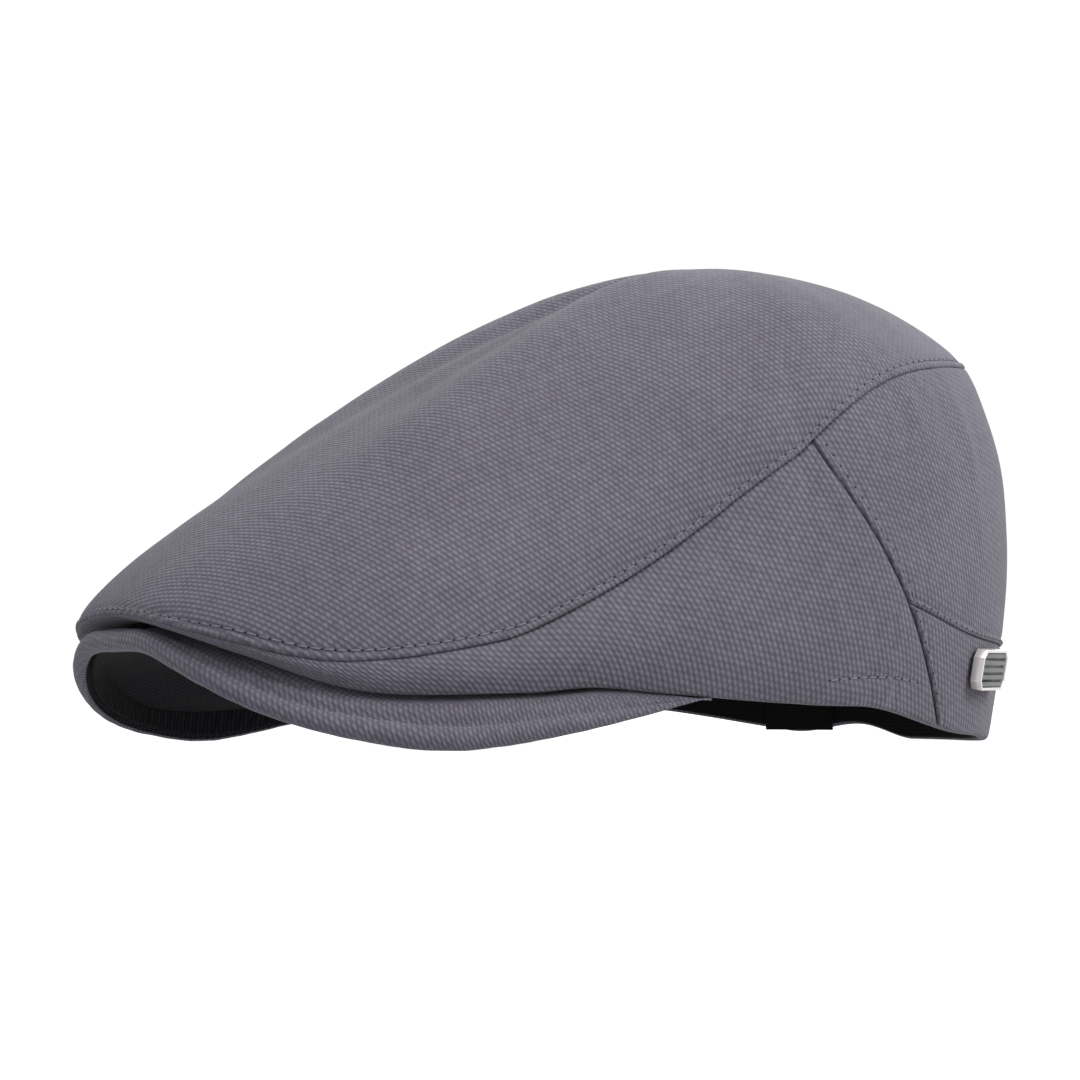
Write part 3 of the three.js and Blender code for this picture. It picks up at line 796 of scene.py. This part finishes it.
rear_rows = {"upper": [], "lower": []}
for side, word in ((1, "left"), (-1, "right")):
    for part, cloth, start, end, inset in (("upper", back_panel, band_level(0), 0.985, STITCH["inset"]),
                                           ("lower", back_band, 0.06, band_level(0), STITCH["close"])):
        holes = on_cloth(cloth, row_on_crown(start, end, rear_stitch_place(side, inset)))
        name = "rear_stitching_" + part + "_" + word
        rear_rows[part].append(stitch_row(name, holes, grey_thread, hole_shade))
band_row = on_cloth(back_panel, row_on_crown(0.02, 0.98, band_stitch_place))
band_stitching = stitch_row("band_stitching", band_row, grey_thread, hole_shade)


# The peak: a stiff board in the same cotton, short and curved down at both sides, with the cloth pulled
# round its edge in a thick roll, and the cover sewn on under it inside the roll. Below the roll the cloth and
# the cover are painted near black: painted shade under the peak.
PEAK_COLUMNS = ("at", "lip", "thick", "root", "reach")
PEAK_SECTIONS = [dict(zip(PEAK_COLUMNS, row)) for row in (
    (0, 25, 6, 0, 1),
    (12, 24.1, 6, 0, 1),
    (24, 16.6, 6, 0, 1),
    (36, 7.4, 6, 0, 1),
    (46, 2.2, 6, 0, 1),
    (55, 0.1, 6, 0.05, 1),
    (66, 4.7, 4.6, 0.5, 0.86),
    (78, 12, 1, 0.93, 0.12),
    (81, 11.8, 0.7, 0.93, 0.06),
)]
PEAK = {"end": 79.5, "taper": 5, "seat": 0.4, "board": 0.62, "heel": 0.25, "crown": 0.7, "groove": 1.5,
        "dip": 3.5}
PEAK_GRID = {"columns": 230, "root": 4, "top": 14, "roll": 20, "below": 10, "heel": 4}
UNDER = {"columns": 200, "rows": 40, "end": 65.5, "inset": 0.03, "gap": 0.4, "thick": 1.2}


@lru_cache(maxsize=None)
def peak_section(angle):
    """The corners of one section through the peak, and the middle of its roll."""
    cut = section(angle)
    foot = cut["foot"] - Vector((0, 0, PEAK["seat"]))
    opening = cut["root"] - Vector((0, 0, PEAK["seat"]))
    root = opening.lerp(foot, value_at(PEAK_SECTIONS, "root", angle))
    full = value_at(PEAK_SECTIONS, "thick", angle)
    thick = full * math.sqrt(min(1, max(0.03, (PEAK["end"] - abs(angle)) / PEAK["taper"])))
    tip = plan_point("foot", angle).lerp(plan_point("peak", angle), value_at(PEAK_SECTIONS, "reach", angle))
    tip.z = value_at(PEAK_SECTIONS, "lip", angle) + full - thick / 2
    outward = tip - foot
    outward.z = 0
    outward.normalize()
    centre = tip - outward * (thick / 2)
    drop = Vector((0, 0, thick * PEAK["board"]))
    heel = centre - outward * (thick * PEAK["heel"]) + Vector((0, 0, thick / 2)) - drop
    return {"root": root, "foot": foot, "thick": thick, "outward": outward, "centre": centre,
            "heel": heel, "foot_below": foot - drop, "root_below": root - drop}


def peak_ring(angle):
    """The points round one section of the peak: over the board, with a groove where it is sewn to the
    crown, round the roll and back below."""
    cut = peak_section(angle)
    up = Vector((0, 0, 1))
    radius = cut["thick"] / 2
    groove = up * min(PEAK["groove"], cut["thick"] / 3)
    shares = [k / PEAK_GRID["root"] for k in range(PEAK_GRID["root"])]
    points = [cut["root"].lerp(cut["foot"], share) - groove * share for share in shares]
    top = cut["centre"] + up * radius
    swell = (cut["outward"] + up).normalized() * PEAK["crown"]
    for k in range(PEAK_GRID["top"]):
        t = k / PEAK_GRID["top"]
        sunk = near(t * (top - cut["foot"]).length, 0, PEAK["dip"])
        points.append(cut["foot"].lerp(top, t) + swell * math.sin(math.pi * t) ** 2 - groove * sunk)
    for k in range(PEAK_GRID["roll"] + 1):
        turn = math.pi * (0.5 - k / PEAK_GRID["roll"])
        across, rise = math.cos(turn) * radius, math.sin(turn) * radius
        points.append(cut["centre"] + cut["outward"] * across + up * rise)
    bottom = points[-1]
    for k in range(1, PEAK_GRID["heel"] + 1):
        points.append(bottom.lerp(cut["heel"], k / PEAK_GRID["heel"]))
    for k in range(1, PEAK_GRID["below"] + 1):
        points.append(cut["heel"].lerp(cut["foot_below"], k / PEAK_GRID["below"]))
    points.append(cut["root_below"])
    return points


RING = len(peak_ring(0.0))
PEAK_LENGTH = length_at("peak", PEAK["end"]) - length_at("peak", 0)


@lru_cache(maxsize=None)
def peak_column(s):
    angle = angle_at("peak", length_at("peak", 0) + (2 * s - 1) * PEAK_LENGTH)
    points = peak_ring(angle)
    reach = [0]
    for a, b in zip(points, points[1:]):
        reach.append(reach[-1] + (b - a).length)
    return angle, points, reach


def peak_place(s, t):
    angle, points, reach = peak_column(round(s, 6))
    k = round(t * RING) % RING
    along = length_at("peak", angle) - length_at("peak", 0)
    return points[k], (along, -reach[k] if k else (-reach[-1] if t > 0.5 else 0))


def peak_relief(s, t, point):
    angle, points, reach = peak_column(round(s, 6))
    k = round(t * RING) % RING
    along = length_at("peak", angle)
    pull = noise.noise(Vector((along / 4, reach[k] / 12, 6.3)))
    if PEAK_GRID["root"] < k < RING - 4:
        thick = min(1, peak_section(angle)["thick"] / 6)
        return 0.14 * pull + 0.5 * noise.noise((point + MIDDLE) / 30) * thick
    return 0


# The underside below the roll and the cover: the grey cotton's weave painted near black, as painted shade.
shade_dark_cotton = cotton("black cotton", (0.0075, 0.0075, 0.0095), (0.003, 0.003, 0.004), 0.0003, 0.02)
painted_shade_from = (PEAK_GRID["root"] + PEAK_GRID["top"] + PEAK_GRID["roll"] + 0.5) / RING
peak = cloth_piece("peak_cloth", PEAK_GRID["columns"], RING, peak_place, peak_relief, painted_shade_from)
bm = bmesh.new()
bm.from_mesh(peak.data)
bmesh.ops.holes_fill(bm, edges=[e for e in bm.edges if e.is_boundary], sides=0)
bmesh.ops.recalc_face_normals(bm, faces=bm.faces)
bm.to_mesh(peak.data)
bm.free()
peak.data.materials.append(grey_cotton)
peak.data.materials.append(shade_dark_cotton)
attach(peak, "root")
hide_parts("peak")


def under_place(s, t):
    reach = length_at("peak", UNDER["end"]) - length_at("peak", 0)
    angle = angle_at("peak", length_at("peak", 0) + (2 * s - 1) * reach)
    cut = peak_section(angle)
    edge = cut["heel"].lerp(cut["foot_below"], UNDER["inset"])
    x = t * 3
    if x < 1:
        point = edge.lerp(cut["foot_below"], x)
    else:
        point = cut["foot_below"].lerp(cut["root_below"], (x - 1) / 2)
    point = point - Vector((0, 0, UNDER["gap"]))
    return point, (point.y, -point.x)


def under_relief(s, t, point):
    return 0.35 * noise.noise((point + MIDDLE) / 16) * math.sin(math.pi * t)


# The cover has the painted-shade cotton on both of its sides.
peak_under = cloth_piece("peak_cover", UNDER["columns"], UNDER["rows"], under_place, under_relief)
wall_thickness(peak_under, UNDER["thick"] * MM)
peak_under.data.materials.append(shade_dark_cotton)
peak_under.data.materials.append(shade_dark_cotton)
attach(peak_under, "root")
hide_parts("peak_under")


# The sweatband: a black cotton band, upright round the inside of the head opening and sewn to the hem,
# with its lower edge bound. The size strap inside it at the right rear is black webbing.
BAND = {"thick": 1.2, "height": 28, "lift": 0.6, "gap": 0.3, "front": 55, "drop": 3.7, "corner": 0.5,
        "columns": 260}
STRAP = {"from": -139, "to": -153, "bottom": 2.3, "top": 24, "thick": 1.2, "corner": 0.4, "columns": 16}


def opening_inset(angle, inset):
    return plan_point("opening", angle) - plan_outward("opening", angle) * inset


def band_drop(angle):
    ease = min(1, max(0, (BAND["front"] - abs(angle)) / 4 + 0.5))
    return BAND["drop"] * ease * ease * (3 - 2 * ease)


def ring_profile(height, thick, corner):
    """Places round the upright section of a band, as set-in and height, with rounded edges."""
    places = []
    corners = ((corner, corner, 180), (thick - corner, corner, 270),
               (thick - corner, height - corner, 0), (corner, height - corner, 90))
    for x, z, start in corners:
        for k in range(5):
            turn = math.radians(start + 90 * k / 4)
            places.append((x + corner * math.cos(turn), z + corner * math.sin(turn)))
    return places


def upright_band(name, columns, angle_of, bottom_of, profile, closed):
    """A band that stands on edge, from its section's places, carried along the head opening."""
    bm = bmesh.new()
    count = len(profile)
    bmesh.ops.create_grid(bm, x_segments=columns, y_segments=count, size=0.5)
    for v in bm.verts:
        s, k = v.co.x + 0.5, round((v.co.y + 0.5) * count) % count
        angle = angle_of(s)
        inset, up = profile[k]
        turn = 2 * math.pi * s
        wave = 0.35 * noise.noise(Vector((math.cos(turn), math.sin(turn), up / 30)) * 2.5)
        point = opening_inset(angle, inset + max(0, wave))
        point.z = bottom_of(angle) + up
        v.co = (point + MIDDLE) * MM
    bmesh.ops.remove_doubles(bm, verts=bm.verts, dist=MERGED)
    if not closed:
        bmesh.ops.holes_fill(bm, edges=[e for e in bm.edges if e.is_boundary], sides=0)
    bmesh.ops.recalc_face_normals(bm, faces=bm.faces)
    return finished(name, bm)


band_ring = ring_profile(BAND["height"], BAND["thick"], BAND["corner"])
band_profile = [(BAND["gap"] + x, z) for x, z in band_ring]
sweatband = upright_band(
    "sweatband_cotton", BAND["columns"], lambda s: 360 * s - 180,
    lambda angle: section(angle)["root"].z + BAND["lift"] - band_drop(angle), band_profile, True)
strap_inset = 2 * BAND["gap"] + BAND["thick"]
strap_ring = ring_profile(STRAP["top"] - STRAP["bottom"], STRAP["thick"], STRAP["corner"])
strap_profile = [(strap_inset + x, z) for x, z in strap_ring]
size_strap = upright_band(
    "strap_webbing", STRAP["columns"], lambda s: STRAP["to"] + (STRAP["from"] - STRAP["to"]) * s,
    lambda angle: STRAP["bottom"], strap_profile, False)
black_band = plain_black("black band cotton", (0.004, 0.004, 0.0045), 320)
for piece, node in ((sweatband, "sweatband"), (size_strap, "size_strap")):
    piece.data.materials.append(black_band)
    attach(piece, "root")
    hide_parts(node)


# The badge: a small polished metal frame with cut corners, riveted through the back band at the left
# rear, round a plain grey ribbed plate. Both are left bare.
BADGE = {"at": 132, "level": 0.181, "width": 21.2, "tall": 11.2, "deep": 3.2, "rim": 0.8, "chamfer": 2.2,
         "stand": 0.7, "edge": 0.2, "slip": 0.2}
RIBS = {"count": 5, "floor": 1.75, "step": 0.75, "back": 0.5, "end": 0.9, "wide": 0.7, "edge": 0.28,
        "corner": 0.6}


def cut_rectangle(bm, width, tall, chamfer):
    """A flat rectangle with its corners cut off, as one face looking up."""
    bmesh.ops.create_grid(bm, x_segments=1, y_segments=1, size=0.5)
    bmesh.ops.scale(bm, vec=(width, tall, 1), verts=bm.verts)
    bmesh.ops.bevel(bm, geom=list(bm.verts), offset=chamfer * math.sqrt(2), offset_type="WIDTH",
                    affect="VERTICES", segments=1, profile=0.5, material=-1)


def stand_on_band(bm):
    """Carries a badge piece, drawn flat with its back at height 0, to its place on the back band."""
    seat = crown_point(BADGE["at"], BADGE["level"])
    outward = crown_outward(BADGE["at"], BADGE["level"])
    across = Vector((0, 0, 1)).cross(outward).normalized()
    turn = Matrix((across, outward.cross(across), outward)).transposed().to_4x4()
    place = Matrix.Translation(seat + outward * BADGE["stand"] + MIDDLE) @ turn
    bmesh.ops.transform(bm, matrix=Matrix.Scale(MM, 4) @ place, verts=bm.verts)


bm = bmesh.new()
cut_rectangle(bm, BADGE["width"], BADGE["tall"], BADGE["chamfer"])
outer = list(bm.faces)
bmesh.ops.inset_region(bm, faces=outer, thickness=BADGE["rim"], use_even_offset=True, use_boundary=True)
bmesh.ops.delete(bm, geom=outer, context="FACES")
made = bmesh.ops.extrude_face_region(bm, geom=list(bm.faces))
lifted = [e for e in made["geom"] if isinstance(e, bmesh.types.BMVert)]
bmesh.ops.translate(bm, vec=(0, 0, BADGE["deep"]), verts=lifted)
bmesh.ops.recalc_face_normals(bm, faces=bm.faces)
crisp = [e for e in bm.edges if e.calc_face_angle(0) > 0.5]
bmesh.ops.bevel(bm, geom=crisp, offset=BADGE["edge"], affect="EDGES", segments=3, profile=0.5, material=-1)
stand_on_band(bm)
badge_frame = finished("badge_frame_metal", bm)


def polished_metal():
    material, nodes, links, shader = new_material("polished badge metal")
    wear = place_noise(nodes, links, Scale=900, Detail=4, Roughness=0.6)
    rough = add(nodes, "ShaderNodeMapRange", inputs={1: 0.3, 2: 0.7, 3: 0.2, 4: 0.28})
    links.new(wear, rough.inputs["Value"])
    links.new(rough.outputs["Result"], shader.inputs["Roughness"])
    shader.inputs["Base Color"].default_value = (0.47, 0.44, 0.445, 1)
    shader.inputs["Metallic"].default_value = 0.5
    bump = add(nodes, "ShaderNodeBump", inputs={"Strength": 0.05, "Distance": 0.00003})
    links.new(wear, bump.inputs["Height"])
    links.new(bump.outputs["Normal"], shader.inputs["Normal"])
    return material


badge_frame.data.materials.append(polished_metal())
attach(badge_frame, "root")
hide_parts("badge_frame")

bm = bmesh.new()
plate_width = BADGE["width"] - 2 * BADGE["rim"] + BADGE["slip"]
plate_tall = BADGE["tall"] - 2 * BADGE["rim"] + BADGE["slip"]
cut_rectangle(bm, plate_width, plate_tall, BADGE["chamfer"] * RIBS["corner"])
made = bmesh.ops.extrude_face_region(bm, geom=list(bm.faces))
lifted = [e for e in made["geom"] if isinstance(e, bmesh.types.BMVert)]
bmesh.ops.translate(bm, vec=(0, 0, RIBS["floor"]), verts=lifted)
bmesh.ops.recalc_face_normals(bm, faces=bm.faces)
rib = plate_tall / RIBS["count"]
for k in range(RIBS["count"]):
    bar = bmesh.ops.create_cube(bm, size=1)
    bmesh.ops.scale(bm, vec=(plate_width - RIBS["end"], rib * RIBS["wide"], RIBS["step"]), verts=bar["verts"])
    bmesh.ops.translate(bm, vec=(0, rib * (k + 0.5) - plate_tall / 2, RIBS["floor"] + RIBS["step"] / 2),
                        verts=bar["verts"])
    top = [e for e in bm.edges if all(v in bar["verts"] for v in e.verts)
           and all(v.co.z > RIBS["floor"] + 0.1 for v in e.verts)]
    bmesh.ops.bevel(bm, geom=top, offset=RIBS["edge"], affect="EDGES", segments=3, profile=0.5, material=-1)
bmesh.ops.translate(bm, vec=(0, 0, RIBS["back"]), verts=bm.verts)
stand_on_band(bm)
badge_insert = finished("badge_plate_metal", bm)


def brushed_plate():
    material, nodes, links, shader = new_material("grey badge plate")
    grain = place_noise(nodes, links, Scale=700, Detail=5, Roughness=0.7)
    greys = mixed(nodes, links, grain, (0.04, 0.044, 0.042), (0.105, 0.113, 0.108))
    links.new(greys, shader.inputs["Base Color"])
    shader.inputs["Metallic"].default_value = 0.4
    shader.inputs["Roughness"].default_value = 0.42
    return material


badge_insert.data.materials.append(brushed_plate())
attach(badge_insert, "root")
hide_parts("badge_insert")


# The studio: a plain pale floor and a pale room, with soft lamps above, at the left and at the right
# rear, and the camera low at the cap's left front, as the photograph has it.
bm = bmesh.new()
bmesh.ops.create_grid(bm, x_segments=1, y_segments=1, size=6)
floor = finished("floor", bm, smooth=False)
floor_material, nodes, links, shader = new_material("pale floor")
shader.inputs["Base Color"].default_value = (0.08, 0.08, 0.08, 1)
shader.inputs["Roughness"].default_value = 0.8
shader.inputs["Emission Color"].default_value = (1, 1, 1, 1)
shader.inputs["Emission Strength"].default_value = 1
shader.inputs["Specular IOR Level"].default_value = 0.1
floor.data.materials.append(floor_material)

world = bpy.data.worlds.new("pale room")
world.use_nodes = True
world.node_tree.nodes["Background"].inputs["Color"].default_value = (1, 1, 1, 1)
world.node_tree.nodes["Background"].inputs["Strength"].default_value = 1.02
bpy.context.scene.world = world
bpy.context.scene.view_settings.view_transform = "Standard"

AIM = Vector((0, -0.0046, 0.0562))


def soft_lamp(name, place, size, power):
    lamp = bpy.data.lights.new(name, "AREA")
    lamp.energy = power
    lamp.size = size
    holder = bpy.data.objects.new(name, lamp)
    holder.location = place
    holder.rotation_euler = (AIM - Vector(place)).to_track_quat("-Z", "Y").to_euler()
    bpy.context.scene.collection.objects.link(holder)


for lamp_row in (("lamp above", (0.3, -0.2, 1.3), 1.0, 14),
                 ("lamp at the left", (1.1, 0.7, 0.8), 0.8, 29),
                 ("lamp at the right rear", (-1.1, 0.9, 0.7), 0.8, 9)):
    soft_lamp(*lamp_row)

CAMERA = {"round": 60, "up": 1.464, "distance": 1.25, "lens": 150.9, "sensor": 36}
look_round, look_up = math.radians(CAMERA["round"]), math.radians(CAMERA["up"])
look = Vector((-math.sin(look_round) * math.cos(look_up), math.cos(look_round) * math.cos(look_up),
               math.sin(look_up)))
camera_data = bpy.data.cameras.new("camera")
camera_data.lens = CAMERA["lens"]
camera_data.sensor_width = CAMERA["sensor"]
camera_data.clip_end = 20
camera = bpy.data.objects.new("camera", camera_data)
camera.location = AIM - look * CAMERA["distance"]
camera.rotation_euler = look.to_track_quat("-Z", "Y").to_euler()
bpy.context.scene.collection.objects.link(camera)
bpy.context.scene.camera = camera
